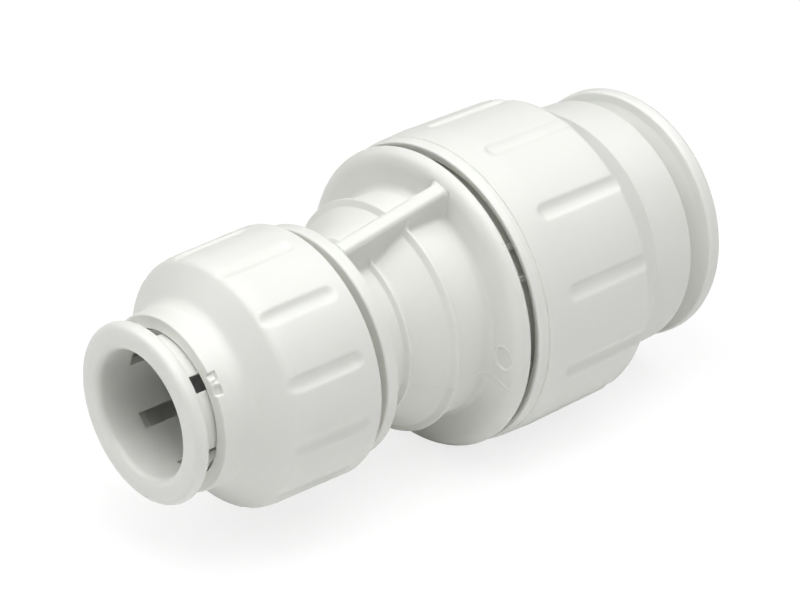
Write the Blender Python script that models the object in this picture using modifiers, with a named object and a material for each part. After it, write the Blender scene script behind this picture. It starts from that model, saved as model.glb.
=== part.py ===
"""Push to connect reducing coupler for plastic or copper water tube, 15 mm to 22 mm.

The fitting's axis is X. The 15 mm end points to -X and the 22 mm end to +X.
The origin is on the axis at mid-length and +Z is up. Lengths are written in
millimetres and multiplied by MM. Names ending in _r are radii. A roll is an
angle in degrees about the axis, from +Z towards -Y.
"""

import math
from types import SimpleNamespace

import bmesh
import bpy
from mathutils import Matrix, Vector

MM = 0.001
SEGMENTS = 36  # round a turned piece
SPACER_SEGMENTS = 30

# ------------------------------------------------------------- shared dimensions
TUBE_CLEARANCE = 0.15  # on the radius, between tube and bore
STOP_HALF = 3.5  # each tube stop is this far from the middle of the web

FLUTES = 12
FLUTE_DEPTH = 0.38

SLOT_W = 2.0
NOTCH_DEPTH = 2.5  # tooth notch, back from the collet's tip
NOTCH_WALL = 0.45  # collet head left outside a tooth notch
TOOTH_GAP = 0.3  # clearance of a tooth in its notch
TOOTH_W = 2.0
TOOTH_T = 0.4
TOOTH_BITE = 0.2  # reach of a tooth's edge inside the tube's skin

THREAD_PITCH = 2.0
THREAD_STEPS = 12  # sections in one turn
THREAD_ROOT = 0.35  # ridge buried in the wall
THREAD_ROOT_HALF = 0.62  # half width of the ridge at its root
THREAD_CREST_HALF = 0.25
THREAD_RUN_OUT = 3  # sections over which each end of the ridge sinks
THREAD_END_SCALE = 0.35  # height left at the very end
THREAD_TURN = 0.13  # start of a cap's thread, in radians from local +X

WATERWAY_SMALL_R = 5.9
WATERWAY_LARGE_R = 9.0
NECK_SMALL_R = 10.6
NECK_LARGE_R = 14.0
FLANGE_SMALL_R = 14.4
FLANGE_LARGE_R = 19.05

RIB_T = 2.2
RIB_ROLL = 17.0
# Neck rib as (radius, distance from the web's middle towards +X)
RIB_OUTLINE = (
    (9.9, -10.6), (13.9, -10.6), (14.4, -9.9), (18.25, 5.0),
    (17.8, 5.6), (13.2, 5.6), (13.2, -0.6), (9.9, -4.6),
)

DETENT_ROLLS = (50.0, 64.0, 103.0, 117.0)
# Opposite corners of a detent rib: radius, across, distance from the web's middle
DETENT_LOW = (15.6, -0.35, 5.9)
DETENT_HIGH = (16.95, 0.35, 9.3)

# ---------------------------------------------------------------- the two ends
# Places along an end are depths from its own collet face into the fitting.
# cap_outside and collet_front are (radius, depth), from deep to shallow.
SMALL = SimpleNamespace(
    name="15",
    side=-1,  # the end's direction along X
    tube_r=15.0 / 2,
    insertion=33.0,  # collet face to tube stop
    # collet
    collet_neck_r=8.65,
    collet_head_r=10.15,
    head_start=6.9,
    head_full=9.6,
    collet_tip=10.5,
    collet_front=[
        (8.65, 2.85), (8.95, 2.5), (9.8, 2.1), (10.5, 1.7),
        (10.8, 1.1), (10.65, 0.45), (10.3, 0.1), (9.95, 0.0),
    ],
    slot_roll=49.5,
    # one slot per finger; the three about the lower +Y side begin deeper
    slot_starts=(2.4, 2.4, 4.8, 4.8, 4.8, 2.4),
    # cap
    nose_front=4.1,
    nose_r=10.4,
    nose_hole_r=8.95,
    seat_start=6.3,
    seat_end=9.3,
    seat_r=10.5,
    cap_step=12.0,
    cap_chamfer=0.3,
    cap_inner_r=13.35,
    cap_thread_r=12.95,
    cap_end=22.75,
    cap_rim_r=15.5,
    cap_outside=[
        (15.18, 11.6), (14.95, 10.75), (14.3, 9.95), (12.4, 8.85),
        (11.35, 7.9), (10.8, 6.6), (10.65, 4.35),
    ],
    flute_roll=8.5,
    flute_w=2.0,
    flute_start=9.6,
    flute_end=21.0,
    flute_r=15.3,
    # spacer and O-ring
    spacer_front=12.35,
    spacer_flange_t=0.8,
    spacer_flange_r=12.6,
    spacer_r=10.1,
    spacer_bore_r=7.85,
    spacer_end=18.4,
    ring_r=8.85,
    ring_section_r=1.25,
    ring_at=20.55,
    # body barrel
    pocket_r=10.45,
    pocket_end=22.15,
    mouth=14.0,
    barrel_r=12.05,
    thread_r=12.65,
    thread_from=15.4,
    thread_to=21.4,
)
LARGE = SimpleNamespace(
    name="22",
    side=1,
    tube_r=22.0 / 2,
    insertion=39.0,
    # collet
    collet_neck_r=12.35,
    collet_head_r=14.15,
    head_start=9.0,
    head_full=12.4,
    collet_tip=13.4,
    collet_front=[
        (12.35, 3.4), (12.9, 2.7), (14.6, 2.1), (15.9, 2.0), (16.4, 1.6),
        (16.55, 1.1), (16.45, 0.5), (16.1, 0.1), (15.7, 0.0),
    ],
    slot_roll=20.0,
    slot_starts=(3.2,) * 8,
    # cap
    nose_front=5.2,
    nose_r=15.8,
    nose_hole_r=12.7,
    seat_start=8.2,
    seat_end=12.0,
    seat_r=14.55,
    cap_step=15.0,
    cap_chamfer=0.7,
    cap_inner_r=17.6,
    cap_thread_r=17.25,
    cap_end=35.0,
    cap_rim_r=19.2,
    cap_outside=[
        (19.3, 33.6), (19.5, 33.0), (19.6, 28.0), (19.56, 17.3), (19.3, 16.55),
        (16.8, 12.5), (16.45, 11.7), (16.35, 6.0), (16.1, 5.4),
    ],
    flute_roll=14.5,
    flute_w=2.1,
    flute_start=14.6,
    flute_end=30.0,
    flute_r=19.5,
    # spacer and O-ring
    spacer_front=15.4,
    spacer_flange_t=0.9,
    spacer_flange_r=16.6,
    spacer_r=13.95,
    spacer_bore_r=11.35,
    spacer_end=22.6,
    ring_r=12.5,
    ring_section_r=1.5,
    ring_at=25.0,
    # body barrel
    pocket_r=14.35,
    pocket_end=26.85,
    mouth=17.3,
    barrel_r=16.25,
    thread_r=16.95,
    thread_from=19.0,
    thread_to=27.5,
)

# The web is off the origin, because the origin is midway between the collet faces.
WEB_X = (SMALL.insertion - LARGE.insertion) / 2


# -------------------------------------------------------------- scene helpers
def clear_scene():
    for obj in list(bpy.data.objects):
        bpy.data.objects.remove(obj, do_unlink=True)


def collection(name):
    made = bpy.data.collections.new(name)
    bpy.context.scene.collection.children.link(made)
    return made


def material(name, colour, roughness, metallic=0.0):
    made = bpy.data.materials.new(name)
    made.use_nodes = True
    shader = made.node_tree.nodes["Principled BSDF"]
    shader.inputs["Base Color"].default_value = (*colour, 1.0)
    shader.inputs["Roughness"].default_value = roughness
    shader.inputs["Metallic"].default_value = metallic
    made.diffuse_color = (*colour, 1.0)
    return made


def add(name, data, where, parent=None, mat=None):
    obj = bpy.data.objects.new(name, data)
    where.objects.link(obj)
    obj.parent = parent
    if mat is not None:
        data.materials.append(mat)
    return obj


def add_cutter(name, bm, parent):
    """A hidden helper for a Boolean modifier, made from a bmesh, which is freed."""
    mesh = bpy.data.meshes.new(name)
    bm.to_mesh(mesh)
    bm.free()
    obj = add(name, mesh, CUTTERS, parent)
    obj.hide_render = True
    obj.display_type = "WIRE"
    return obj


def boolean(obj, cutter, operation):
    modifier = obj.modifiers.new(operation.title(), "BOOLEAN")
    modifier.operation = operation
    modifier.object = cutter
    modifier.solver = "EXACT"


def local_roll(end, roll):
    """A roll from +Z towards -Y, as a turn from local +X about the end's local +Z.

    Local +X is world -Z at the -X end and world +Z at the +X end.
    """
    top = 180.0 if end.side < 0 else 0.0
    return top - end.side * roll


def turn_about_axis(degrees):
    return Matrix.Rotation(math.radians(degrees), 4, "Z")


# -------------------------------------------------------------- shape helpers
def turned(name, points, parent, mat, steps=SEGMENTS):
    """A solid of revolution about local Z from a closed outline of (radius, z).

    The outer side is listed from high z to low.
    """
    mesh = bpy.data.meshes.new(name)
    count = len(points)
    edges = [(i, (i + 1) % count) for i in range(count)]
    mesh.from_pydata([(r * MM, 0.0, z * MM) for r, z in points], edges, [])
    obj = add(name, mesh, PARTS, parent, mat)
    screw = obj.modifiers.new("Turn", "SCREW")
    screw.axis = "Z"
    screw.angle = math.tau
    screw.steps = screw.render_steps = steps
    screw.use_merge_vertices = True
    screw.merge_threshold = 0.00001
    screw.use_normal_calculate = False
    screw.use_smooth_shade = True
    return obj


def ring_of(name, count, roll, build, parent):
    """One cutter: the shape that build(bm, i) makes in a bmesh, repeated about local Z."""
    ring = bmesh.new()
    for i in range(count):
        part = bmesh.new()
        build(part, i)
        turn = turn_about_axis(roll + 360.0 * i / count)
        bmesh.ops.transform(part, matrix=turn, verts=part.verts)
        bmesh.ops.recalc_face_normals(part, faces=part.faces)
        step = bpy.data.meshes.new("step")
        part.to_mesh(step)
        part.free()
        ring.from_mesh(step)
        bpy.data.meshes.remove(step)
    return add_cutter(name, ring, parent)


def box_into(bm, low, high):
    """Adds a box between two corners and returns its vertices."""
    size = [b - a for a, b in zip(low, high)]
    middle = [(a + b) / 2 for a, b in zip(low, high)]
    place = Matrix.Translation(Vector(middle) * MM) @ Matrix.Diagonal((*size, 1.0))
    return bmesh.ops.create_cube(bm, size=MM, matrix=place)["verts"]


def helix_ridge(name, wall_r, crest_r, end, first_turn):
    """A trapezium swept along a helix about the end's axis, with its root in the wall."""
    root_r = wall_r - math.copysign(THREAD_ROOT, crest_r - wall_r)
    section = (
        (root_r, -THREAD_ROOT_HALF),
        (crest_r, -THREAD_CREST_HALF),
        (crest_r, THREAD_CREST_HALF),
        (root_r, THREAD_ROOT_HALF),
    )
    count = int((end.thread_to - end.thread_from) / THREAD_PITCH * THREAD_STEPS)
    bm = bmesh.new()
    rows = []
    for i in range(count + 1):
        angle = first_turn + math.tau * i / THREAD_STEPS
        depth = end.thread_from + THREAD_PITCH * i / THREAD_STEPS
        # the ridge sinks towards the wall at each end
        fade = min(1.0, i / THREAD_RUN_OUT, (count - i) / THREAD_RUN_OUT)
        height = THREAD_END_SCALE + (1 - THREAD_END_SCALE) * fade
        row = []
        for section_r, z in section:
            r = root_r + (section_r - root_r) * height
            point = Vector((r * math.cos(angle), r * math.sin(angle), depth + z))
            row.append(bm.verts.new(point * MM))
        rows.append(row)
    for a, b in zip(rows, rows[1:]):
        for k in range(4):
            after = (k + 1) % 4
            bm.faces.new((a[k], a[after], b[after], b[k]))
    bm.faces.new(rows[0][::-1])
    bm.faces.new(rows[-1])
    bmesh.ops.recalc_face_normals(bm, faces=bm.faces)
    return add_cutter(name, bm, end.empty)


# ----------------------------------------------------------------- end frames
def end_empty(end):
    """Local +Z of the empty runs from the collet face into the fitting."""
    empty = add("end_" + end.name, None, PARTS)
    empty.location = ((WEB_X + end.side * (STOP_HALF + end.insertion)) * MM, 0, 0)
    empty.rotation_euler = (0, -end.side * math.pi / 2, 0)
    return empty


# ------------------------------------------------------------------------ cap
def flute_into(bm, end):
    """A bar along the cap's skin, tapered beyond its deeper end."""
    half = end.flute_w / 2
    # a circle that cuts a groove of this width and depth
    radius = (half * half + FLUTE_DEPTH * FLUTE_DEPTH) / (2 * FLUTE_DEPTH)
    taper = radius * 0.5
    bar_end = end.flute_end - taper
    centre = Vector((end.flute_r + radius - FLUTE_DEPTH, 0, (end.flute_start + bar_end) / 2))
    bmesh.ops.create_cone(
        bm,
        cap_ends=True,
        segments=10,
        radius1=radius * MM,
        radius2=radius * MM,
        depth=(bar_end - end.flute_start) * MM,
        matrix=Matrix.Translation(centre * MM),
    )
    top = max(v.co.z for v in bm.verts)
    lid = [f for f in bm.faces if all(abs(v.co.z - top) < 1e-7 for v in f.verts)]
    bmesh.ops.inset_region(bm, faces=lid, thickness=radius * MM * 0.3)
    for vert in {v for f in lid for v in f.verts}:
        vert.co.z += taper * MM


def cap(end):
    """Screw cap, with a conical seat round the collet head and flutes on its skin."""
    rim = end.cap_end
    points = [
        (end.cap_rim_r - 0.3, rim),
        (end.cap_rim_r, rim - 0.2),
        *end.cap_outside,
        (end.nose_r, end.nose_front),
        (end.nose_hole_r + 0.3, end.nose_front),
        (end.nose_hole_r, end.nose_front + 0.3),
        (end.nose_hole_r, end.seat_start),
        (end.seat_r, end.seat_end),
        (end.seat_r, end.cap_step),
        (end.cap_inner_r - end.cap_chamfer, end.cap_step),
        (end.cap_inner_r, end.cap_step + end.cap_chamfer),
        (end.cap_inner_r, rim - 0.4),
        (end.cap_inner_r + 0.4, rim),
    ]
    obj = turned("cap_" + end.name, points, end.empty, WHITE)
    thread = helix_ridge(
        "cap_thread_" + end.name, end.cap_inner_r, end.cap_thread_r, end, THREAD_TURN
    )
    boolean(obj, thread, "UNION")
    flutes = ring_of(
        "flutes_" + end.name,
        FLUTES,
        local_roll(end, end.flute_roll),
        lambda bm, i: flute_into(bm, end),
        end.empty,
    )
    boolean(obj, flutes, "DIFFERENCE")


# --------------------------------------------------------------------- collet
def collet(end):
    """Slotted sleeve with a steel tooth in a notch at the tip of each finger."""
    bore_r = end.tube_r + TUBE_CLEARANCE
    tip = end.collet_tip
    points = [
        (end.collet_head_r - 0.25, tip),
        (end.collet_head_r, end.head_full),
        (end.collet_neck_r, end.head_start),
        *end.collet_front,
        (bore_r + 0.95, 0.0),
        (bore_r + 0.3, 0.28),
        (bore_r, 1.0),
        (bore_r, tip),
    ]
    obj = turned("collet_" + end.name, points, end.empty, WHITE_COLLET)

    def slot_into(bm, i):
        box_into(
            bm,
            (bore_r - 1.5, -SLOT_W / 2, end.slot_starts[i]),
            (end.collet_head_r + 1, SLOT_W / 2, tip + 1),
        )

    def notch_into(bm, i):
        half = TOOTH_W / 2 + TOOTH_GAP
        box_into(
            bm,
            (bore_r - 1.5, -half, tip - NOTCH_DEPTH),
            (end.collet_head_r - NOTCH_WALL, half, tip + 1),
        )

    fingers = len(end.slot_starts)
    slot_roll = local_roll(end, end.slot_roll)
    notch_roll = slot_roll + 180.0 / fingers  # mid-finger
    for name, roll, build in (
        ("collet_slots_", slot_roll, slot_into),
        ("tooth_notches_", notch_roll, notch_into),
    ):
        cutter = ring_of(name + end.name, fingers, roll, build, end.empty)
        boolean(obj, cutter, "DIFFERENCE")
    for i in range(fingers):
        tooth(end, i + 1, notch_roll + 360.0 * i / fingers)


def tooth(end, number, roll):
    """A bent strip of spring steel in a notch. Its edge leans inwards and deeper."""
    outer = end.collet_head_r - NOTCH_WALL - TOOTH_GAP
    low = end.collet_tip - NOTCH_DEPTH + TOOTH_GAP
    bite = end.tube_r - TOOTH_BITE
    outline = [
        (outer, low),
        (outer, low + TOOTH_T),
        (outer - 0.55, low + TOOTH_T),
        (bite, low + 1.85),
        (bite, low + 1.5),
        (outer - 0.75, low),
    ]
    curve = bpy.data.curves.new("tooth", "CURVE")
    curve.dimensions = "2D"
    curve.fill_mode = "BOTH"
    curve.extrude = TOOTH_W / 2 * MM
    spline = curve.splines.new("POLY")
    spline.points.add(len(outline) - 1)
    for point, (r, z) in zip(spline.points, outline):
        point.co = (r * MM, z * MM, 0, 1)
    spline.use_cyclic_u = True
    obj = add("grip_tooth_%s_%d" % (end.name, number), curve, PARTS, end.empty, STEEL)
    # the curve's X is the radius and its Y, stood up, the depth
    obj.matrix_local = turn_about_axis(roll) @ Matrix.Rotation(math.pi / 2, 4, "X")


# ---------------------------------------------------------- spacer and O-ring
def spacer(end):
    """Flanged ring between the collet and the O-ring."""
    front = end.spacer_front
    back = front + end.spacer_flange_t
    points = [
        (end.spacer_r - 0.3, end.spacer_end),
        (end.spacer_r, end.spacer_end - 0.3),
        (end.spacer_r, back),
        (end.spacer_flange_r, back),
        (end.spacer_flange_r, front),
        (end.spacer_bore_r + 0.5, front),
        (end.spacer_bore_r, front + 0.5),
        (end.spacer_bore_r, end.spacer_end),
    ]
    turned("spacer_ring_" + end.name, points, end.empty, SPACER, SPACER_SEGMENTS)


def o_ring(end):
    bpy.ops.mesh.primitive_torus_add(
        major_radius=end.ring_r * MM,
        minor_radius=end.ring_section_r * MM,
        major_segments=30,
        minor_segments=8,
    )
    obj = bpy.context.object
    obj.name = "o_ring_" + end.name
    for other in list(obj.users_collection):
        other.objects.unlink(obj)
    PARTS.objects.link(obj)
    obj.parent = end.empty
    obj.location = (0, 0, end.ring_at * MM)
    obj.data.materials.append(RUBBER)
    obj.data.shade_smooth()
    obj.data.set_sharp_from_angle(angle=math.radians(30.0))


# ----------------------------------------------------------------------- body
def from_web(end, depth):
    """A depth in an end, as a distance from the web's middle towards +X."""
    return end.side * (STOP_HALF + end.insertion - depth)


def rib_into(bm, i):
    """A flat rib that joins the two flanges along the neck."""
    low, high = (
        [bm.verts.new(Vector((r, y, z)) * MM) for r, z in RIB_OUTLINE]
        for y in (-RIB_T / 2, RIB_T / 2)
    )
    bm.faces.new(low)
    bm.faces.new(high[::-1])
    for k in range(len(low)):
        after = (k + 1) % len(low)
        bm.faces.new((low[k], high[k], high[after], low[after]))


def detents_into(bm, i):
    """Short ribs on the large barrel, on the +X side of its flange."""
    for roll in DETENT_ROLLS:
        verts = box_into(bm, DETENT_LOW, DETENT_HIGH)
        bmesh.ops.transform(bm, matrix=turn_about_axis(roll), verts=verts)


def body():
    """One moulding. Its local Z is world X, measured from the web's middle."""
    small_mouth = from_web(SMALL, SMALL.mouth)
    large_mouth = from_web(LARGE, LARGE.mouth)
    small_pocket_end = from_web(SMALL, SMALL.pocket_end)
    large_pocket_end = from_web(LARGE, LARGE.pocket_end)
    small_bore_r = SMALL.tube_r + TUBE_CLEARANCE
    large_bore_r = LARGE.tube_r + TUBE_CLEARANCE
    # (radius, distance from the web's middle)
    outer = [
        # large barrel and flange
        (LARGE.barrel_r - 0.5, large_mouth),
        (LARGE.barrel_r, large_mouth - 0.5),
        (LARGE.barrel_r, 6.3),
        (FLANGE_LARGE_R - 0.25, 6.3),
        (FLANGE_LARGE_R, 6.05),
        (FLANGE_LARGE_R - 0.1, 5.6),
        (18.55, 5.15), (17.95, 4.85), (17.2, 4.7), (14.9, 4.7), (14.25, 4.45),
        # neck, with a bead above and below its cone
        (NECK_LARGE_R, 3.8),
        (NECK_LARGE_R, -0.45),
        (14.6, -0.75), (14.6, -1.15), (13.75, -1.55),
        (10.95, -5.1), (11.3, -5.45), (11.3, -5.8),
        (NECK_SMALL_R, -6.15),
        (NECK_SMALL_R, -9.7),
        (NECK_SMALL_R + 0.4, -10.1),
        # small flange and barrel
        (FLANGE_SMALL_R - 0.3, -10.1),
        (FLANGE_SMALL_R, -10.4),
        (FLANGE_SMALL_R, -11.65),
        (FLANGE_SMALL_R - 0.3, -11.95),
        (SMALL.barrel_r, -11.95),
        (SMALL.barrel_r, small_mouth + 0.5),
        (SMALL.barrel_r - 0.5, small_mouth),
    ]
    inner = [
        (SMALL.pocket_r, small_mouth),
        (SMALL.pocket_r, small_pocket_end),
        (small_bore_r, small_pocket_end),
        (small_bore_r, -STOP_HALF),
        (WATERWAY_SMALL_R, -STOP_HALF),
        (WATERWAY_LARGE_R, STOP_HALF),
        (large_bore_r, STOP_HALF),
        (large_bore_r, large_pocket_end),
        (LARGE.pocket_r, large_pocket_end),
        (LARGE.pocket_r, large_mouth),
    ]
    frame = add("body_axis", None, PARTS)
    frame.location = (WEB_X * MM, 0, 0)
    frame.rotation_euler = (0, math.pi / 2, 0)
    obj = turned("body", outer + inner, frame, WHITE_BODY)

    # local +X of the frame is world -Z, so a roll starts from 180 degrees
    for name, roll, build in (
        ("neck_ribs", 180.0 + RIB_ROLL, rib_into),
        ("detent_ribs", 180.0, detents_into),
    ):
        boolean(obj, ring_of(name, 2, roll, build, frame), "UNION")

    # half a turn from the cap's thread, so that the ridges lie between each other
    for end in (SMALL, LARGE):
        ridge = helix_ridge(
            "body_thread_" + end.name, end.barrel_r, end.thread_r, end, math.pi + THREAD_TURN
        )
        boolean(obj, ridge, "UNION")


# ---------------------------------------------------------------------- build
clear_scene()
PARTS = collection("push_fit_reducer_15_22")
CUTTERS = collection("cutters")

WHITE = material("white_acetal", colour=(0.86, 0.86, 0.84), roughness=0.36)
WHITE_BODY = material("white_body", colour=(0.84, 0.84, 0.82), roughness=0.4)
WHITE_COLLET = material("white_collet", colour=(0.88, 0.88, 0.86), roughness=0.32)
SPACER = material("grey_spacer", colour=(0.55, 0.56, 0.56), roughness=0.45)
RUBBER = material("black_rubber", colour=(0.02, 0.02, 0.022), roughness=0.6)
STEEL = material("spring_steel", colour=(0.62, 0.62, 0.6), roughness=0.25, metallic=1.0)

for fitting_end in (SMALL, LARGE):
    fitting_end.empty = end_empty(fitting_end)
body()
for fitting_end in (SMALL, LARGE):
    cap(fitting_end)
    spacer(fitting_end)
    o_ring(fitting_end)
    collet(fitting_end)
bpy.context.view_layer.update()
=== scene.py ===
"""Looks of a push to connect reducing coupler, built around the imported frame.

The fitting lies along X, with its small (15) end towards -X and its large (22)
end towards +X. Every visible piece is a fine mesh made here and rides on its
CAD body. Lengths are in millimetres until a mesh is written. A point of a
turned piece is given by x, its radius from the axis, and phi in degrees from
straight up (+Z) towards the front (-Y). Pieces of one end are drawn by their
depth, measured into the fitting from the face of that end's collet.
"""

import math
from types import SimpleNamespace

import bmesh
import bpy
import numpy as np
from mathutils import Matrix, Vector


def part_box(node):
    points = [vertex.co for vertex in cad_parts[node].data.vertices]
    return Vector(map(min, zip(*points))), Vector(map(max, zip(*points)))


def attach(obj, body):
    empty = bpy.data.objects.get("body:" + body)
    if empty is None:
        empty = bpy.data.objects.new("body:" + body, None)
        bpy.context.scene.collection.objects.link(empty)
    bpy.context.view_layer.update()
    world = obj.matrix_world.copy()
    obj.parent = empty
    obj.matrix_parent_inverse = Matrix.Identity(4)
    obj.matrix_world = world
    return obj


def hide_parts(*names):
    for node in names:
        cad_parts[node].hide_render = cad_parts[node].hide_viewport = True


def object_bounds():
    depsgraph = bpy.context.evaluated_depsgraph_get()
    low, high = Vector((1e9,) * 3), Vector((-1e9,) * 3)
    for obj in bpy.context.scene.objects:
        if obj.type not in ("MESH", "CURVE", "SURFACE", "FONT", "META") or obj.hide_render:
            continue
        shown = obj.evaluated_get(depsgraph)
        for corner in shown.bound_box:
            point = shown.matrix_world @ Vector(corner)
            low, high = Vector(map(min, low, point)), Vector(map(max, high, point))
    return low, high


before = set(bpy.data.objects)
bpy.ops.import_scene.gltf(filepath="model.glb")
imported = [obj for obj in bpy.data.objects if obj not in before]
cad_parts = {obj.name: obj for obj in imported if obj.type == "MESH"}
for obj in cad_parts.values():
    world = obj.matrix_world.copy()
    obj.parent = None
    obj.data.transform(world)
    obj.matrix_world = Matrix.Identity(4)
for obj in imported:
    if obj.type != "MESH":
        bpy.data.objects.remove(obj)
CAD_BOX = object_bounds()
MM = 0.001

# ---------------------------------------------------------- driving dimensions
# inward is the way along X that depth runs; thread holds the depths it spans
SMALL = SimpleNamespace(
    size=15,
    face=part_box("collet_15")[0].x / MM,
    inward=1,
    thread=(15.4, 21.4),
    bore=7.65,
    lead_in=(1.0, 0.95),  # depth and height of the bore's rounded mouth
    tip=10.5,
    tip_radius=10.15,
    slot_phi=49.5,
    slot_starts=(2.4, 2.4, 4.8, 4.8, 4.8, 2.4),
)
LARGE = SimpleNamespace(
    size=22,
    face=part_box("collet_22")[1].x / MM,
    inward=-1,
    thread=(19.0, 27.5),
    bore=11.15,
    lead_in=(1.3, 1.15),
    tip=13.4,
    tip_radius=14.15,
    slot_phi=20.0,
    slot_starts=(3.2,) * 8,
)
ENDS = (SMALL, LARGE)

THREAD_PITCH = 2.0
THREAD_ROLL = 7.4  # degrees; the body's threads start half a turn from the caps'
THREAD_CREST, THREAD_FOOT = 0.25, 0.62  # half widths of the ridge

SLOT_WIDTH = 2.0  # between a collet's fingers
NOTCH_WIDTH, NOTCH_DEPTH = 2.5, 1.5  # holds a tooth at a finger's tip
NOTCH_WALL = 0.45  # left outside the notch

RIB_PHI = 17.0
PARTING_PHI = RIB_PHI + 90.0


# -------------------------------------------------------------------- profiles
# A profile's corners are (x or depth, radius, fillet, tag). The tag is "o" on
# the outside and "i" on the inside of a piece.
def rounded(corners, step):
    """A closed chain of (x, radius, tag), with arcs of step degrees for the fillets."""
    count = len(corners)
    points = [np.array(corner[:2], float) for corner in corners]
    arms, turns, reach = [], [], []
    for i, point in enumerate(points):
        before, after = points[i - 1] - point, points[(i + 1) % count] - point
        before, after = before / np.linalg.norm(before), after / np.linalg.norm(after)
        turn = math.pi - math.acos(float(np.clip(before @ after, -1, 1)))
        arms.append((before, after))
        turns.append(turn)
        reach.append(corners[i][2] * math.tan(turn / 2) if turn > 0.03 else 0.0)
    # fillets that would meet on a short side share its length
    for i in range(count):
        k = (i + 1) % count
        length = np.linalg.norm(points[k] - points[i])
        if reach[i] + reach[k] > 0.96 * length:
            share = 0.96 * length / (reach[i] + reach[k])
            reach[i], reach[k] = reach[i] * share, reach[k] * share
    chain = []
    for i, point in enumerate(points):
        tag = corners[i][3]
        if reach[i] < 1e-4:
            chain.append((point[0], point[1], tag))
            continue
        before, after = arms[i]
        radius = reach[i] / math.tan(turns[i] / 2)
        towards = (before + after) / np.linalg.norm(before + after)
        centre = point + towards * radius / math.cos(turns[i] / 2)
        first, last = point + before * reach[i] - centre, point + after * reach[i] - centre
        start = math.atan2(first[1], first[0])
        sweep = math.atan2(last[1], last[0]) - start
        sweep = (sweep + math.pi) % math.tau - math.pi
        pieces = max(2, math.ceil(math.degrees(abs(sweep)) / step))
        for k in range(pieces + 1):
            angle = start + sweep * k / pieces
            x, y = centre[0] + radius * math.cos(angle), centre[1] + radius * math.sin(angle)
            chain.append((x, y, tag))
    return chain


def bow(x0, radius0, x1, radius1, count):
    """Corners along a quarter ellipse that leaves radially and arrives along the axis."""
    found = []
    for k in range(count + 1):
        angle = math.pi / 2 * k / count
        x = x0 + (x1 - x0) * (1 - math.cos(angle))
        found.append((x, radius0 + (radius1 - radius0) * math.sin(angle), 0.0, "o"))
    return found


def placed(end, corners):
    """Corners given by depth, moved to their x."""
    return [(end.face + end.inward * depth, *rest) for depth, *rest in corners]


def depth_at(end, x):
    return end.inward * (x - end.face)


def dense(chain, spacing):
    """Points added to a closed chain, so that no step is longer than spacing(x, radius, tag)."""
    out = []
    for i, (x, radius, tag) in enumerate(chain):
        next_x, next_radius, next_tag = chain[(i + 1) % len(chain)]
        between = tag if tag == next_tag else "i"
        run, rise = next_x - x, next_radius - radius
        longest = spacing((x + next_x) / 2, (radius + next_radius) / 2, between)
        count = max(1, math.ceil(math.hypot(run, rise) / longest))
        for k in range(count):
            here = between if k else tag
            out.append((x + run * k / count, radius + rise * k / count, here))
    return out


def evenly(chain):
    return dense(chain, lambda x, radius, tag: 0.8)


def chain_arrays(chain):
    """x, radius, whether outside, and the x and radial parts of the outward normals."""
    x = np.array([point[0] for point in chain])
    radius = np.array([point[1] for point in chain])
    outer = np.array([point[2] == "o" for point in chain])
    area = 0.5 * np.sum(x * np.roll(radius, -1) - np.roll(x, -1) * radius)
    run = np.roll(x, -1) - np.roll(x, 1)
    rise = np.roll(radius, -1) - np.roll(radius, 1)
    length = np.maximum(np.hypot(run, rise), 1e-9)
    sign = 1 if area > 0 else -1
    return x, radius, outer, sign * rise / length, -sign * run / length


def columns(base, windows=()):
    """Angles all round, base degrees apart, closer in each (centre, half width, step) window."""
    at = np.arange(0, 360, 0.05)
    density = np.full(len(at), 1.0 / base)
    for centre, half, step in windows:
        off = np.abs(off_angle(at, centre))
        edge = np.clip(1 - (off - half) / max(half * 0.5, 1.0), 0, 1)
        density = np.maximum(density, 1 / base + (1 / step - 1 / base) * edge)
    total = np.concatenate([[0], np.cumsum(density * 0.05)])
    count = int(math.ceil(total[-1]))
    wanted = np.arange(count) * total[-1] / count
    return np.interp(wanted, total, np.concatenate([at, [360.0]]))


# ---------------------------------------------------------------------- meshes
def smooth(mesh, sharp):
    mesh.shade_smooth()
    mesh.set_sharp_from_angle(angle=math.radians(sharp))


def link_object(name, mesh):
    obj = bpy.data.objects.new(name, mesh)
    bpy.context.scene.collection.objects.link(obj)
    return obj


def to_mesh(name, builder):
    mesh = bpy.data.meshes.new(name)
    builder.to_mesh(mesh)
    builder.free()
    return mesh


def spun(name, x, radius, phi, sharp):
    """An object of quads that closes both ways, from grids of x, radius and phi."""
    turn = np.radians(phi)
    verts = np.stack([x, -radius * np.sin(turn), radius * np.cos(turn)], -1)
    rows, cols = verts.shape[:2]
    index = np.arange(rows * cols).reshape(rows, cols)
    down, across = np.roll(index, -1, 0), np.roll(index, -1, 1)
    both = np.roll(down, -1, 1)
    faces = np.stack([index, down, both, across], -1).reshape(-1, 4)
    flat = verts.reshape(-1, 3)
    first, second, third, fourth = (flat[faces[:, k]] for k in range(4))
    volume = np.einsum("ij,ij->i", first, np.cross(second, third)).sum()
    volume += np.einsum("ij,ij->i", first, np.cross(third, fourth)).sum()
    if volume < 0:
        faces = faces[:, ::-1]
    mesh = bpy.data.meshes.new(name)
    mesh.from_pydata((flat * MM).tolist(), [], faces.tolist())
    mesh.update()
    obj = link_object(name, mesh)
    smooth(mesh, sharp)
    return obj


def turned(name, chain, angles, shape=None):
    """A turned solid; shape(x, radius, normal_r, outer, phi) gives the moved x and radius."""
    x, radius, outer, _, normal_r = chain_arrays(chain)
    grid_x = np.repeat(x[:, None], len(angles), 1)
    grid_radius = np.repeat(radius[:, None], len(angles), 1)
    phi = np.repeat(angles[None, :], len(x), 0)
    if shape is not None:
        grid_x, grid_radius = shape(grid_x, grid_radius, normal_r[:, None], outer[:, None], phi)
    return spun(name, grid_x, grid_radius, phi, sharp=38.0)


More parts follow.
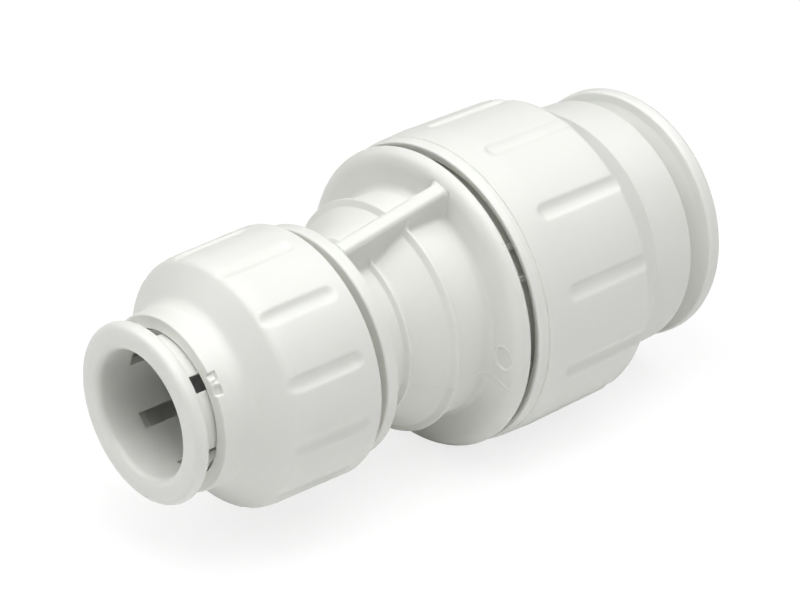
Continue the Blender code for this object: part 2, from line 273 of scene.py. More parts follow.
# ---------------------------------------------------------------------- relief
def off_angle(phi, centre):
    return (phi - centre + 180) % 360 - 180


def sideways(radius, phi, centre):
    """Distance at this radius from the plane through the axis at centre."""
    return radius * np.sin(np.radians(np.clip(off_angle(phi, centre), -80, 80)))


def soft_min(one, other, blend):
    share = np.clip(0.5 + 0.5 * (other - one) / blend, 0, 1)
    return other + (one - other) * share - blend * share * (1 - share)


def soft_step(low, high, value):
    share = np.clip((value - low) / (high - low), 0, 1)
    return share * share * (3 - 2 * share)


def bell(distance, width):
    return np.exp(-((distance / width) ** 2))


def value_noise(across, along, scale, seed):
    """Smooth repeatable noise in 0 to 1 over a plane."""
    across, along = across / scale, along / scale
    column, row = np.floor(across).astype(np.int64), np.floor(along).astype(np.int64)
    across, along = across - column, along - row
    across, along = across * across * (3 - 2 * across), along * along * (3 - 2 * along)

    def corner(p, q):
        n = (p * 374761393 + q * 668265263 + seed * 69069) & 0xFFFFFFFF
        n = ((n ^ (n >> 13)) * 1274126177) & 0xFFFFFFFF
        return ((n ^ (n >> 16)) & 0xFFFF) / 65535.0

    low = corner(column, row) * (1 - across) + corner(column + 1, row) * across
    high = corner(column, row + 1) * (1 - across) + corner(column + 1, row + 1) * across
    return low * (1 - along) + high * along


def thread(end, x, phi, roll):
    """Height from 0 to 1 of an end's helical ridge at this x and angle."""
    start, stop = end.thread
    depth = depth_at(end, x)
    turn = (end.inward * (phi + 90.0) + roll) / 360.0
    total = (stop - start) / THREAD_PITCH
    along = turn + np.round((depth - start) / THREAD_PITCH - turn)
    away = np.abs(depth - start - THREAD_PITCH * along)
    ridge = 1 - np.clip((away - THREAD_CREST) / (THREAD_FOOT - THREAD_CREST), 0, 1)
    fade = np.clip(np.minimum(along, total - along) * 5, 0, 1)
    return ridge * np.where((along >= 0) & (along <= total), fade, 0)


def parting_flash(radius, phi, line, height, width):
    """Height of the hair lines of flash at phi = line and opposite it."""
    return sum(
        height * bell(radius * np.radians(off_angle(phi, at)), width)
        for at in (line, line - 180)
    )


# ------------------------------------------------------------------------ caps
def flute_angles(first_phi):
    return [first_phi + 30 * k for k in range(12)]


def cut_flutes(radius, outer, depth, phi, wall, first_phi, width, sink, stop, reach, blend):
    """Radius with a ring of scooped flutes in the wall, each with a round end at depth stop."""
    scoop = (width * width / 4 + sink * sink) / (2 * sink)
    past = np.maximum(depth - (stop - width / 2), 0)
    for centre in flute_angles(first_phi):
        inside = scoop**2 - sideways(wall, phi, centre) ** 2 - past**2
        bed = wall - sink + scoop - np.sqrt(np.maximum(inside, 0))
        bed = np.where(inside > 0, bed, 1e3)
        near = outer & (np.abs(off_angle(phi, centre)) < reach)
        radius = np.where(near, soft_min(radius, bed, blend), radius)
    return radius


SMALL_CAP = [
    (22.75, 13.75, 0.08, "i"),
    (22.75, 15.5, 0.3, "o"),
    (12.0, 15.22, 3.0, "o"),
    (10.5, 15.0, 1.5, "o"),
    (7.6, 10.85, 1.9, "o"),
    (4.1, 10.62, 0.2, "o"),
    (4.1, 8.95, 0.14, "o"),
    (6.3, 8.95, 0.2, "i"),
    (9.3, 10.5, 0.2, "i"),
    (12.0, 10.5, 0.2, "i"),
    (12.0, 13.35, 0.25, "i"),
    (22.3, 13.35, 0.1, "i"),
]
SMALL_FLUTE_PHI = 8.5
GATE_PHI = 55.0
NOSE_FACE = 4.1  # depth of the nose's end face


def gate_scar(x, radius, depth, outer, turned_radius, phi):
    """The broken-off gate on the small cap's nose: a shallow flat with a rough stub."""
    off = off_angle(phi, GATE_PHI)
    side = sideways(10.6, phi, GATE_PHI)
    near = outer & (np.abs(off) < 14) & (depth < 7.0) & (radius > 9.3)
    window = soft_step(1.42, 1.28, np.abs(side)) * soft_step(5.05, 4.9, depth)
    flat = 9.95 + 0.35 * (depth - NOSE_FACE)
    flat = flat / np.cos(np.radians(np.clip(off, -40, 40)))
    scar = radius + (np.minimum(radius, flat) - radius) * window
    stub = np.exp(-(((side + 0.1) / 0.6) ** 2) - ((depth - 4.5) / 0.4) ** 2)
    rough = value_noise(side + 20, depth + 3, scale=0.34, seed=5)
    rough = rough + 0.6 * value_noise(side + 9, depth, scale=0.17, seed=9)
    scar = scar + window * stub * (0.2 + 0.7 * rough)
    scar = scar + window * 0.1 * (value_noise(side + 3, depth + 1, scale=0.3, seed=2) - 0.5)
    radius = np.where(near, scar, radius)
    # torn plastic stands out of the nose's end face
    torn = stub * (value_noise(side + 5, radius, scale=0.3, seed=4) + 0.25) * 0.3
    torn = torn * soft_step(4.35, 4.15, depth) * soft_step(9.4, 9.9, turned_radius)
    return x - np.where(near, torn, 0), radius


def small_cap():
    def spacing(x, radius, tag):
        depth = depth_at(SMALL, x)
        if tag == "o":
            return 0.13 if depth < 7.2 else 0.3
        return 0.2 if radius > 12.5 and depth > 13 else 0.6

    def shape(x, radius, normal_r, outer, phi):
        depth = depth_at(SMALL, x)
        out = cut_flutes(
            radius, outer, depth, phi,
            wall=15.2 + (depth - 11.6) * (15.48 - 15.2) / 11.0,
            first_phi=SMALL_FLUTE_PHI, width=2.0, sink=0.36, stop=20.95, reach=12, blend=0.15,
        )
        moved_x, out = gate_scar(x, out, depth, outer, radius, phi)
        # the inner thread stays clear of the gate, so either x serves it
        inner = ~outer & (radius > 13.2) & (depth > 13.5) & (depth < 22)
        out = np.where(inner, out - 0.4 * thread(SMALL, x, phi, THREAD_ROLL), out)
        flash = parting_flash(radius, phi, PARTING_PHI + 11, height=0.03, width=0.1)
        return moved_x, out + np.where(outer, flash, 0)

    windows = [(phi, 4.6, 0.54) for phi in flute_angles(SMALL_FLUTE_PHI)]
    angles = columns(2.0, windows + [(GATE_PHI, 8.0, 0.57)])
    chain = dense(rounded(placed(SMALL, SMALL_CAP), 9.0), spacing)
    return turned("cap_15_skin", chain, angles, shape)


LARGE_CAP = [
    (34.35, 17.75, 0.1, "o"),
    (34.96, 18.7, 0.12, "o"),
    (35.0, 19.14, 0.2, "o"),
    (34.35, 19.2, 0.0, "o"),
    (34.3, 19.24, 0.0, "o"),
    (33.62, 19.3, 0.0, "o"),
    (33.57, 19.2, 0.0, "o"),
    (33.44, 19.2, 0.0, "o"),
    (33.38, 19.38, 0.06, "o"),
    (29.6, 19.6, 4.0, "o"),
    (16.95, 19.56, 1.3, "o"),
    (11.9, 16.44, 0.8, "o"),
    (5.2, 16.2, 0.42, "o"),
    (5.2, 12.7, 0.15, "i"),
    (8.2, 12.7, 0.2, "i"),
    (12.0, 14.55, 0.2, "i"),
    (15.0, 14.55, 0.2, "i"),
    (15.0, 16.9, 0.2, "i"),
    (15.7, 17.6, 0.2, "i"),
    (34.1, 17.6, 0.05, "i"),
]
LARGE_FLUTE_PHI = 14.4


def large_cap():
    def spacing(x, radius, tag):
        depth = depth_at(LARGE, x)
        if tag == "o":
            return 0.28 if 12.5 < depth < 31.5 else 0.6
        return 0.22 if radius > 16 and 18 < depth < 28.5 else 0.9

    def shape(x, radius, normal_r, outer, phi):
        depth = depth_at(LARGE, x)
        out = cut_flutes(
            radius, outer, depth, phi, wall=19.57,
            first_phi=LARGE_FLUTE_PHI, width=2.15, sink=0.38, stop=30.0, reach=10, blend=0.1,
        )
        inner = ~outer & (radius > 17.4) & (depth > 17) & (depth < 29)
        out = np.where(inner, out - 0.35 * thread(LARGE, x, phi, THREAD_ROLL), out)
        flash = parting_flash(radius, phi, PARTING_PHI + 4, height=0.03, width=0.12)
        return x, out + np.where(outer, flash, 0)

    angles = columns(1.9, [(phi, 3.9, 0.53) for phi in flute_angles(LARGE_FLUTE_PHI)])
    chain = dense(rounded(placed(LARGE, LARGE_CAP), 9.0), spacing)
    return turned("cap_22_skin", chain, angles, shape)


# ------------------------------------------------------------------------ body
NECK_RADIUS = 14.0
FLANGE_X, FLANGE_RADIUS = 3.3, 19.05  # the flange's large-end face, and its rim
BODY = [
    (22.2, 14.35, 0.15, "i"),
    (22.2, 16.25, 0.45, "o"),
    (FLANGE_X, 16.25, 0.25, "o"),
    (FLANGE_X, FLANGE_RADIUS, 0.16, "o"),
    *bow(1.62, 17.15, 3.05, FLANGE_RADIUS, 10)[::-1],
    (1.76, NECK_RADIUS, 0.85, "o"),
    (-3.72, NECK_RADIUS, 0.12, "o"),
    (-3.86, 14.62, 0.16, "o"),
    (-4.16, 14.62, 0.16, "o"),
    (-4.52, 13.78, 0.16, "o"),
    (-8.2, 10.98, 0.16, "o"),
    (-8.46, 11.34, 0.14, "o"),
    (-8.76, 11.34, 0.14, "o"),
    (-8.98, 10.6, 0.12, "o"),
    (-13.0, 10.6, 0.5, "o"),
    (-13.22, 14.4, 0.34, "o"),
    (-14.95, 14.4, 0.3, "o"),
    (-14.95, 12.05, 0.2, "o"),
    (-25.5, 12.05, 0.4, "o"),
    (-25.5, 10.45, 0.15, "i"),
    (-17.35, 10.45, 0.2, "i"),
    (-17.35, 7.65, 0.15, "i"),
    (-6.5, 7.65, 0.1, "i"),
    (-6.5, 5.9, 0.2, "i"),
    (0.5, 9.0, 0.2, "i"),
    (0.5, 11.15, 0.1, "i"),
    (12.65, 11.15, 0.15, "i"),
    (12.65, 14.35, 0.2, "i"),
]
RIB_HALF = 1.1  # half thickness at the top
RIB_FOOT = RIB_HALF + 0.12  # and at the foot of the wall
RIB_EDGE, RIB_FILLET = 0.72, 0.5
RIB_REACH = RIB_FOOT + RIB_FILLET
RIB_CROWN = 0.02
# steps across half a rib: flat top, rounded edge, wall, root fillet
TOP_STEPS, EDGE_STEPS, WALL_STEPS, ROOT_STEPS = 4, 5, 7, 5
RIB_COLUMNS = TOP_STEPS + EDGE_STEPS + WALL_STEPS + ROOT_STEPS + 1

EJECTOR_PHI, EJECTOR_AT = 95.0, 16.1  # angle and distance from the axis
RING_PHI, RING_X = 36.6, -1.15
NUB_PHIS = [phi + turn for phi in (50.0, 64.0, 103.0, 117.0) for turn in (0, 180)]


def body_spacing(x, radius, tag):
    if tag != "o":
        return 1.2
    if 12.0 < x < 21.0 or -24.6 < x < -17.5 or 3.4 < x < 7:  # threads and nubs
        return 0.25
    if x > 7 or x < -15:
        return 0.6
    if x > 1.4 and radius < 17.6:  # the flange face with the ejector mark
        return 0.13
    if -2.6 < x < 0.2:  # the faint ring
        return 0.16
    return 0.3


def rib_section(x, base, outer):
    """Sideways places and heights over half a rib, or over the bare base where it has none."""
    even = np.linspace(0, RIB_REACH, RIB_COLUMNS)
    plain = np.sqrt(base * base - even * even)
    if not (outer and -13.4 < x < 3.0):
        return even, plain
    # the rib flares as it nears the flange
    near = min(max((x - 0.95) / 0.7, 0.0), 1.0)
    flare = 0.55 * (1 - math.sqrt(1 - near * near))
    half, foot = RIB_HALF + flare, RIB_FOOT + flare
    level = 14.4 + (x + 13.3) * (17.95 - 14.4) / (1.9 + 13.3) + 0.4 * flare
    rise = level - math.sqrt(base * base - half * half)
    if rise <= 0:
        return even, plain
    edge, fillet = min(RIB_EDGE, 0.45 * rise), min(RIB_FILLET, 0.45 * rise)
    low = math.sqrt(base * base - (foot + fillet) ** 2)
    head, tail = level - RIB_CROWN - edge, low + fillet
    top = (half - edge) * np.arange(TOP_STEPS) / TOP_STEPS
    edge_turn = math.pi / 2 * np.arange(EDGE_STEPS) / EDGE_STEPS
    down = np.arange(WALL_STEPS) / WALL_STEPS
    root_turn = math.pi / 2 * np.arange(ROOT_STEPS + 1) / ROOT_STEPS
    side = np.concatenate([
        top,
        half - edge + edge * np.sin(edge_turn),
        half + (foot - half) * down,
        foot + fillet * (1 - np.cos(root_turn)),
    ])
    height = np.concatenate([
        level - RIB_CROWN * (top / half) ** 2,
        head + edge * np.cos(edge_turn),
        head + (tail - head) * down,
        low + fillet * (1 - np.sin(root_turn)),
    ])
    # a rib that barely rises melts into the base
    share = float(soft_step(0.0, 0.8, rise))
    side = even + (side - even) * share
    height = plain + (height - plain) * share
    return side, np.maximum(height, np.sqrt(base * base - side * side))


def body_grid(x, base, outer):
    """Angles and radii of the body with its two opposite ribs, one row for each profile point."""
    steps = columns(
        1.55,
        [
            (PARTING_PHI, 2.0, 0.3),
            (PARTING_PHI + 180, 2.0, 0.3),
            (EJECTOR_PHI, 6.5, 0.42),
            (RING_PHI, 5.0, 0.42),
        ]
        + [(phi, 1.8, 0.4) for phi in NUB_PHIS],
    )
    reference = math.degrees(math.asin(RIB_REACH / NECK_RADIUS))
    arcs = []
    for k in range(2):
        arc = (steps - RIB_PHI - 180 * k) % 360
        arcs.append(np.sort(arc[(arc > reference + 0.8) & (arc < 180 - reference - 0.8)]))
    phi_rows, radius_rows = [], []
    for i in range(len(x)):
        side, height = rib_section(x[i], base[i], outer[i])
        lean, over = np.degrees(np.arctan2(side, height)), np.hypot(side, height)
        end = math.degrees(math.asin(side[-1] / base[i]))
        phi_row, radius_row = [], []
        for k, arc in enumerate(arcs):
            centre = RIB_PHI + 180 * k
            # the columns next to a rib shift with its foot
            pull = np.clip(1 - (arc - reference) / 25, 0, 1)
            push = np.clip(1 - (180 - reference - arc) / 25, 0, 1)
            angles = arc + (end - reference) * (pull - push)
            phi_row += [centre - lean[:0:-1], centre + lean, centre + angles]
            radius_row += [over[:0:-1], over, np.full(len(arc), base[i])]
        phi_rows.append(np.concatenate(phi_row))
        radius_rows.append(np.concatenate(radius_row))
    return np.array(phi_rows), np.array(radius_rows)


def body_marks(x, radius, phi, seen, normal_x):
    """Height of the moulding marks along the surface normal."""
    relief = np.where(seen, parting_flash(radius, phi, PARTING_PHI, height=0.06, width=0.09), 0)
    # a round ejector mark on the flange's face towards the small end
    off = np.radians(off_angle(phi, EJECTOR_PHI))
    away = np.hypot(radius * np.cos(off) - EJECTOR_AT, radius * np.sin(off))
    face = seen & (x > 1.3) & (radius < 18) & (np.abs(normal_x) > 0.7)
    mark = -0.15 * soft_step(1.46, 1.3, away) + 0.07 * bell(away - 1.52, 0.1)
    relief += np.where(face, mark, 0)
    # a faint ring on the wide neck
    away = np.hypot(NECK_RADIUS * np.radians(off_angle(phi, RING_PHI)), x - RING_X)
    relief += np.where(seen & (radius < 14.3), 0.022 * bell(away - 1.0, 0.09), 0)
    return relief


def body():
    chain = dense(rounded(BODY, 10.0), body_spacing)
    x, base, outer, normal_x, normal_r = chain_arrays(chain)
    phi, radius = body_grid(x, base, outer)
    normal_x, normal_r = normal_x[:, None], normal_r[:, None]
    bare = outer[:, None] & (radius <= base[:, None] + 1e-4)
    x = np.repeat(x[:, None], phi.shape[1], 1)

    seen = bare & (x > -13.2) & (x < 3.2)
    relief = body_marks(x, radius, phi, seen, normal_x)
    x = x + relief * normal_x
    radius = radius + relief * normal_r

    # threads under the caps
    barrel = bare & (np.abs(normal_r) > 0.9)
    for end, part, height in ((SMALL, x < -16, 0.6), (LARGE, x > 8, 0.7)):
        ridge = height * thread(end, x, phi, THREAD_ROLL + 180)
        radius = np.where(barrel & part, radius + ridge, radius)

    # nubs on the large barrel, next to the flange
    for centre in NUB_PHIS:
        side = sideways(16.6, phi, centre)
        bump = soft_step(0.46, 0.3, np.abs(side)) * soft_step(6.5, 6.1, x)
        near = np.abs(off_angle(phi, centre)) < 5
        spot = bare & (x > 3.25) & (x < 7) & near & (radius < 17)
        crown = 16.95 + 0.5 * soft_step(5.0, 4.4, x)
        radius = np.where(spot, np.maximum(radius, radius + (crown - radius) * bump), radius)
    return spun("body_skin", x, radius, phi, sharp=34.0)


# --------------------------------------------------------------------- collets
def cut(obj, boxes):
    """Cuts (phi, low, high) boxes out of a mesh.

    Their corners are along x, across, and away from the axis at phi.
    """
    builder = bmesh.new()
    for phi, low, high in boxes:
        size = [b - a for a, b in zip(low, high)]
        middle = Vector([(a + b) / 2 for a, b in zip(low, high)])
        place = Matrix.Rotation(math.radians(phi), 4, "X") @ Matrix.Translation(middle * MM)
        place = place @ Matrix.Diagonal((*size, 1.0))
        bmesh.ops.create_cube(builder, size=MM, matrix=place)
    mesh = to_mesh("cut", builder)
    cutter = link_object("cut", mesh)
    step = obj.modifiers.new("Cut", "BOOLEAN")
    step.operation, step.object, step.solver = "DIFFERENCE", cutter, "EXACT"
    graph = bpy.context.evaluated_depsgraph_get()
    graph.update()
    made = bpy.data.meshes.new_from_object(obj.evaluated_get(graph))
    obj.modifiers.clear()
    old, obj.data = obj.data, made
    bpy.data.meshes.remove(old)
    bpy.data.objects.remove(cutter)
    bpy.data.meshes.remove(mesh)
    smooth(made, 38)
    return obj


COLLET_OUTSIDES = {
    15: [
        (10.5, 9.9, 0.12, "o"),
        (9.6, 10.15, 0.5, "o"),
        (6.9, 8.65, 0.5, "o"),
        (2.8, 8.65, 0.7, "o"),
        (1.65, 10.8, 0.75, "o"),
        (0.0, 10.84, 0.95, "o"),
    ],
    22: [
        (13.4, 13.9, 0.12, "o"),
        (12.4, 14.15, 0.5, "o"),
        (9.0, 12.35, 0.6, "o"),
        (3.5, 12.35, 0.9, "o"),
        (2.25, 15.3, 0.8, "o"),
        (2.0, 16.45, 0.45, "o"),
        (0.0, 16.6, 0.85, "o"),
    ],
}


def collet(end):
    """A slotted sleeve, with a notch for a tooth in the tip of each finger."""
    lead_depth, lead_height = end.lead_in
    corners = COLLET_OUTSIDES[end.size] + bow(0.0, end.bore + lead_height, lead_depth, end.bore, 8)
    corners += [(end.tip, end.bore, 0.12, "i")]
    chain = evenly(rounded(placed(end, corners), 9.0))
    obj = turned("collet_%d_skin" % end.size, chain, columns(2.0))

    def box(phi, start, width, top):
        low_x, high_x = sorted(end.face + end.inward * depth for depth in (start, end.tip + 1))
        return phi, (low_x, -width / 2, end.bore - 1.5), (high_x, width / 2, top)

    pitch = 360 / len(end.slot_starts)
    boxes = [
        box(end.slot_phi + pitch * k, start, SLOT_WIDTH, end.tip_radius + 1)
        for k, start in enumerate(end.slot_starts)
    ]
    boxes += [
        box(
            end.slot_phi + pitch * (k + 0.5),
            end.tip - NOTCH_DEPTH, NOTCH_WIDTH, end.tip_radius - NOTCH_WALL,
        )
        for k in range(len(end.slot_starts))
    ]
    return cut(obj, boxes)


# ------------------------------------------------------ rings, spacers and teeth
def o_ring(end, depth, radius, section):
    centre = end.face + end.inward * depth
    chain = []
    for k in range(40):
        angle = -math.tau * k / 40
        chain.append((centre + section * math.cos(angle), radius + section * math.sin(angle), "o"))

    def shape(x, radius, normal_r, outer, phi):
        # a moulding flash line round the inside and the outside
        return x, radius + 0.03 * bell(x - centre, 0.07) * normal_r

    return turned("o_ring_%d_skin" % end.size, chain, columns(1.6), shape)


def spacer(end, front, thick, flange, outside, bore, stop):
    """A sleeve down to depth stop, with a thin flange at its front."""
    back = front + thick
    corners = [
        (stop, outside, 0.3, "o"),
        (back, outside, 0.2, "o"),
        (back, flange, 0.15, "o"),
        (front, flange, 0.15, "o"),
        (front, bore, 0.5, "o"),
        (stop, bore, 0.15, "o"),
    ]
    chain = evenly(rounded(placed(end, corners), 12.0))
    return turned("spacer_ring_%d_skin" % end.size, chain, columns(2.0))


def tooth(end, k):
    """A folded strip of spring steel with a ground edge, in the notch of a finger."""
    name = "grip_tooth_%d_%d_skin" % (end.size, k + 1)
    half_width, thick = 1.0, 0.4
    outer = end.tip_radius - NOTCH_WALL - 0.3
    low = end.tip - NOTCH_DEPTH + 0.2
    bite = end.size / 2 - 0.2  # just inside the tube's surface
    outline = [  # radius, depth
        (outer, low),
        (outer, low + thick),
        (outer - 0.55, low + thick),
        (bite + 0.1, low + 1.14),
        (bite, low + 1.06),
        (bite + 0.08, low + 0.82),
        (outer - 0.75, low),
    ]
    builder = bmesh.new()
    left, right = [
        [
            builder.verts.new(Vector((end.face + end.inward * depth, across, radius)) * MM)
            for radius, depth in outline
        ]
        for across in (-half_width, half_width)
    ]
    builder.faces.new(left)
    builder.faces.new(right[::-1])
    for i in range(len(outline)):
        n = (i + 1) % len(outline)
        builder.faces.new((left[i], right[i], right[n], left[n]))
    bmesh.ops.recalc_face_normals(builder, faces=builder.faces)
    bmesh.ops.bevel(
        builder, geom=list(builder.edges), offset=0.05 * MM, segments=2,
        profile=0.5, affect="EDGES", clamp_overlap=True,
    )
    phi = end.slot_phi + end.inward * 360 / len(end.slot_starts) * (k + 0.5)
    turn = Matrix.Rotation(math.radians(phi), 4, "X")
    bmesh.ops.transform(builder, matrix=turn, verts=builder.verts)
    mesh = to_mesh(name, builder)
    obj = link_object(name, mesh)
    smooth(mesh, 30.0)
    return obj


# ------------------------------------------------------------------- materials
def fill(node, values):
    for name, value in values.items():
        node.inputs[name].default_value = value


class Tree:
    """Small helper for building a node tree from left to right."""

    def __init__(self, name):
        self.material = bpy.data.materials.new(name)
        self.material.use_nodes = True
        self.tree = self.material.node_tree
        self.shader = self.tree.nodes["Principled BSDF"]
        self.where = self.node("TexCoord").outputs["Object"]

    def node(self, kind, **settings):
        made = self.tree.nodes.new("ShaderNode" + kind)
        for key, value in settings.items():
            setattr(made, key, value)
        return made

    def link(self, source, target):
        self.tree.links.new(source, target)

    def shade(self, name, source):
        self.link(source, self.shader.inputs[name])

    def noise(self, scale, detail=3.0, rough=0.55, stretch=None, offset=0.0):
        place = self.where
        if stretch is not None or offset:
            mapping = self.node("Mapping")
            shift = (offset, offset * 0.7, -offset)
            fill(mapping, {"Scale": stretch or (1, 1, 1), "Location": shift})
            self.link(place, mapping.inputs["Vector"])
            place = mapping.outputs["Vector"]
        noise = self.node("TexNoise")
        fill(noise, {"Scale": scale, "Detail": detail, "Roughness": rough})
        self.link(place, noise.inputs["Vector"])
        return noise.outputs["Fac"]

    def ramp(self, value, source, target=(0, 1)):
        made = self.node("MapRange", clamp=True)
        fill(made, {"From Min": source[0], "From Max": source[1]})
        fill(made, {"To Min": target[0], "To Max": target[1]})
        self.link(value, made.inputs["Value"])
        return made.outputs["Result"]

    def math(self, operation, first, second):
        made = self.node("Math", operation=operation)
        self.link(first, made.inputs[0])
        self.link(second, made.inputs[1])
        return made.outputs["Value"]

    def mix(self, factor, low, high):
        made = self.node("Mix", data_type="RGBA")
        self.link(factor, made.inputs["Factor"])
        fill(made, {"A": (*low, 1.0), "B": (*high, 1.0)})
        return made.outputs["Result"]

    def mix_shaders(self, first, second):
        made = self.node("MixShader")
        self.link(first, made.inputs[1])
        self.link(second, made.inputs[2])
        return made

    def bump(self, height, distance, strength, normal=None):
        made = self.node("Bump")
        fill(made, {"Strength": strength, "Distance": distance})
        self.link(height, made.inputs["Height"])
        if normal is not None:
            self.link(normal, made.inputs["Normal"])
        return made.outputs["Normal"]


def plastic(name, light, dark, rough, grain, seed, spread=0.05, soft=0.13):
    """Moulded plastic: faint cloudy colour, uneven gloss, fine tool texture, long flow waves."""
    tree = Tree(name)
    cloud = tree.noise(scale=70.0, rough=0.5, offset=seed + 0.31)
    tree.shade("Base Color", tree.mix(tree.ramp(cloud, source=(0.32, 0.68)), dark, light))
    patch = tree.noise(scale=230.0, detail=4.0, rough=0.6, offset=seed + 0.17)
    fine = tree.noise(scale=2300.0, rough=0.6, offset=seed)
    broad_gloss = tree.ramp(patch, source=(0.3, 0.7), target=(rough - spread, rough + spread))
    fine_gloss = tree.ramp(fine, source=(0.3, 0.7), target=(-0.03, 0.03))
    tree.shade("Roughness", tree.math("ADD", broad_gloss, fine_gloss))
    flow = tree.noise(
        scale=160.0, detail=2.0, rough=0.5, stretch=(0.35, 1.0, 1.0), offset=seed + 0.7
    )
    normal = tree.bump(flow, distance=0.000035, strength=0.35)
    tree.shade("Normal", tree.bump(fine, distance=grain, strength=0.5, normal=normal))
    fill(tree.shader, {
        "IOR": 1.48,
        "Subsurface Weight": soft,
        "Subsurface Radius": (1.0, 0.92, 0.8),
        "Subsurface Scale": 0.0009,
    })
    return tree.material


def rubber():
    tree = Tree("black_epdm")
    cloud = tree.ramp(tree.noise(scale=320.0, detail=4.0, rough=0.6), source=(0.35, 0.65))
    colour = tree.mix(cloud, low=(0.012, 0.012, 0.013), high=(0.028, 0.028, 0.03))
    tree.shade("Base Color", colour)
    patch = tree.noise(scale=900.0, rough=0.6, offset=0.4)
    tree.shade("Roughness", tree.ramp(patch, source=(0.3, 0.7), target=(0.32, 0.58)))
    grain = tree.noise(scale=3800.0, detail=2.0, rough=0.5)
    tree.shade("Normal", tree.bump(grain, distance=0.00001, strength=0.6))
    return tree.material


def steel():
    tree = Tree("spring_steel_strip")
    lines = tree.noise(scale=1400.0, rough=0.6, stretch=(1.0, 0.04, 1.0))
    share = tree.ramp(lines, source=(0.35, 0.65))
    colour = tree.mix(share, low=(0.50, 0.50, 0.49), high=(0.66, 0.66, 0.65))
    tree.shade("Base Color", colour)
    fill(tree.shader, {"Metallic": 1.0})
    tree.shade("Roughness", tree.ramp(lines, source=(0.3, 0.7), target=(0.2, 0.38)))
    tree.shade("Normal", tree.bump(lines, distance=0.000006, strength=0.5))
    return tree.material


MATERIALS = {  # by slot
    "white_cap": plastic(
        "white_cap_plastic", light=(0.805, 0.810, 0.782), dark=(0.785, 0.790, 0.758),
        rough=0.40, grain=0.000012, seed=0.0,
    ),
    "white_body": plastic(
        "white_body_plastic", light=(0.795, 0.800, 0.768), dark=(0.772, 0.777, 0.742),
        rough=0.42, grain=0.000014, seed=1.3,
    ),
    "white_collet": plastic(
        "white_collet_plastic", light=(0.812, 0.817, 0.79), dark=(0.795, 0.80, 0.77),
        rough=0.34, grain=0.000009, seed=2.1,
    ),
    "grey_spacer": plastic(
        "grey_spacer_plastic", light=(0.54, 0.55, 0.55), dark=(0.5, 0.51, 0.51),
        rough=0.46, grain=0.000014, seed=3.7, spread=0.06, soft=0.05,
    ),
    "black_rubber": rubber(),
    "spring_steel": steel(),
}


# -------------------------------------------------------------------- assembly
def finish_piece(obj, rides_on, slot):
    """Each skin replaces the node it is named after."""
    obj.data.materials.clear()
    obj.data.materials.append(MATERIALS[slot])
    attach(obj, rides_on)
    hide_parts(obj.name.removesuffix("_skin"))


finish_piece(body(), "body", "white_body")
finish_piece(small_cap(), "cap_15", "white_cap")
finish_piece(large_cap(), "cap_22", "white_cap")
for end in ENDS:
    finish_piece(collet(end), "collet_%d" % end.size, "white_collet")
finish_piece(o_ring(SMALL, depth=20.55, radius=8.85, section=1.25), "body", "black_rubber")
finish_piece(o_ring(LARGE, depth=25.0, radius=12.5, section=1.5), "body", "black_rubber")
finish_piece(
    spacer(SMALL, front=12.35, thick=0.8, flange=12.6, outside=10.1, bore=7.85, stop=18.4),
    "seal_follower_15", "grey_spacer",
)
finish_piece(
    spacer(LARGE, front=15.4, thick=0.9, flange=16.6, outside=13.95, bore=11.35, stop=22.6),
    "seal_follower_22", "grey_spacer",
)
for end in ENDS:
    for k in range(len(end.slot_starts)):
        finish_piece(tooth(end, k), "collet_%d" % end.size, "spring_steel")


# ------------------------------------------------------------- stage, in metres
scene = bpy.context.scene


def floor():
    builder = bmesh.new()
    bmesh.ops.create_grid(builder, x_segments=1, y_segments=1, size=3.0)
    mesh = to_mesh("floor", builder)
    obj = link_object("floor", mesh)
    obj.location = (0, 0, CAD_BOX[0].z - 0.0001)
    tree = Tree("pale_floor")
    cloud = tree.noise(scale=14.0, detail=2.0, rough=0.5)
    tree.shade("Base Color", tree.mix(cloud, low=(0.93, 0.93, 0.925), high=(0.95, 0.95, 0.945)))
    patch = tree.noise(scale=90.0)
    tree.shade("Roughness", tree.ramp(patch, source=(0.3, 0.7), target=(0.75, 0.9)))
    fill(tree.shader, {"Specular IOR Level": 0.1})
    sheet = tree.shader.outputs["BSDF"]
    # a glow that only the camera sees keeps the sheet white and its shadow pale
    lift = tree.node("Emission")
    fill(lift, {"Strength": 1.06})
    pale = tree.mix_shaders(sheet, lift.outputs["Emission"])
    fill(pale, {"Fac": 0.76})
    camera_ray = tree.node("LightPath").outputs["Is Camera Ray"]
    mix = tree.mix_shaders(sheet, pale.outputs["Shader"])
    tree.link(camera_ray, mix.inputs["Fac"])
    # the sheet hides nothing from a camera that looks up from under it
    backfacing = tree.node("NewGeometry").outputs["Backfacing"]
    under = tree.math("MULTIPLY", camera_ray, backfacing)
    clear = tree.node("BsdfTransparent").outputs["BSDF"]
    seen = tree.mix_shaders(mix.outputs["Shader"], clear)
    tree.link(under, seen.inputs["Fac"])
    tree.link(seen.outputs["Shader"], tree.tree.nodes["Material Output"].inputs["Surface"])
    mesh.materials.append(tree.material)


def lamp(name, position, size, power):
    """A rectangular softbox aimed at the origin."""
    data = bpy.data.lights.new(name, "AREA")
    data.shape = "RECTANGLE"
    data.size, data.size_y = size
    data.energy = power
    obj = link_object(name, data)
    obj.location = position
    obj.rotation_mode = "QUATERNION"
    obj.rotation_quaternion = (Vector() - Vector(position)).to_track_quat("-Z", "Y")


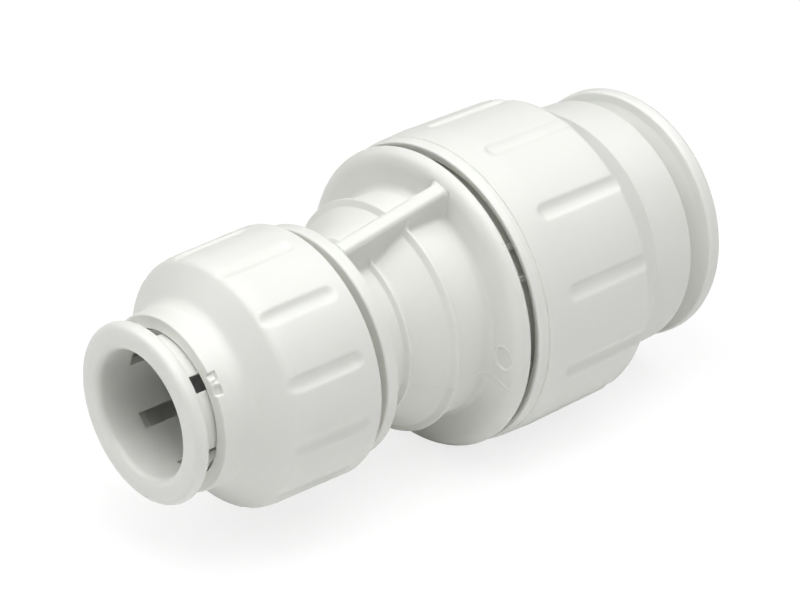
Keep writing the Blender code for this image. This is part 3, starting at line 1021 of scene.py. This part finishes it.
def studio_world():
    world = bpy.data.worlds.new("studio")
    scene.world = world
    world.use_nodes = True
    nodes, links = world.node_tree.nodes, world.node_tree.links
    background = nodes["Background"]
    fill(background, {"Color": (1.0, 1.0, 0.995, 1.0), "Strength": 0.02})
    # the camera sees a white backdrop, which lights nothing
    backdrop = nodes.new("ShaderNodeBackground")
    fill(backdrop, {"Strength": 1.0})
    path = nodes.new("ShaderNodeLightPath")
    mix = nodes.new("ShaderNodeMixShader")
    links.new(path.outputs["Is Camera Ray"], mix.inputs["Fac"])
    links.new(background.outputs["Background"], mix.inputs[1])
    links.new(backdrop.outputs["Background"], mix.inputs[2])
    links.new(mix.outputs["Shader"], nodes["World Output"].inputs["Surface"])


def add_camera():
    """Looks down on the small end from the front."""
    data = bpy.data.cameras.new("camera")
    camera = link_object("camera", data)
    right = Vector((0.73974, -0.67290, 0.0))
    up = Vector((0.31168, 0.34263, 0.88626))
    back = Vector((-0.59637, -0.65560, 0.46318))
    turn = Matrix((right, up, back)).transposed().to_4x4()
    camera.matrix_world = Matrix.Translation((-0.17942, -0.19720, 0.14005)) @ turn
    data.lens = 112.5
    data.sensor_width = 36.0
    data.clip_start, data.clip_end = 0.01, 20.0
    scene.camera = camera


floor()
lamp("overhead_softbox", position=(0, 0, 0.5), size=(0.5, 0.5), power=0.82)
lamp("front_softbox", position=(-0.03, -0.22, 0.45), size=(0.45, 0.35), power=1.34)
lamp("left_softbox", position=(-0.25, 0.0, 0.42), size=(0.35, 0.45), power=0.78)
lamp("right_softbox", position=(0.28, -0.05, 0.42), size=(0.35, 0.45), power=0.56)
lamp("back_left_softbox", position=(-0.25, 0.28, 0.38), size=(0.3, 0.3), power=0.62)
studio_world()
add_camera()

scene.view_settings.view_transform = "Standard"
scene.view_settings.look = "None"
scene.view_settings.exposure = 0.0
scene.view_settings.gamma = 0.9
if hasattr(scene, "cycles"):  # absent when the Cycles add-on is off
    scene.cycles.use_denoising = True
    scene.cycles.max_bounces = 16
    scene.cycles.diffuse_bounces = 14
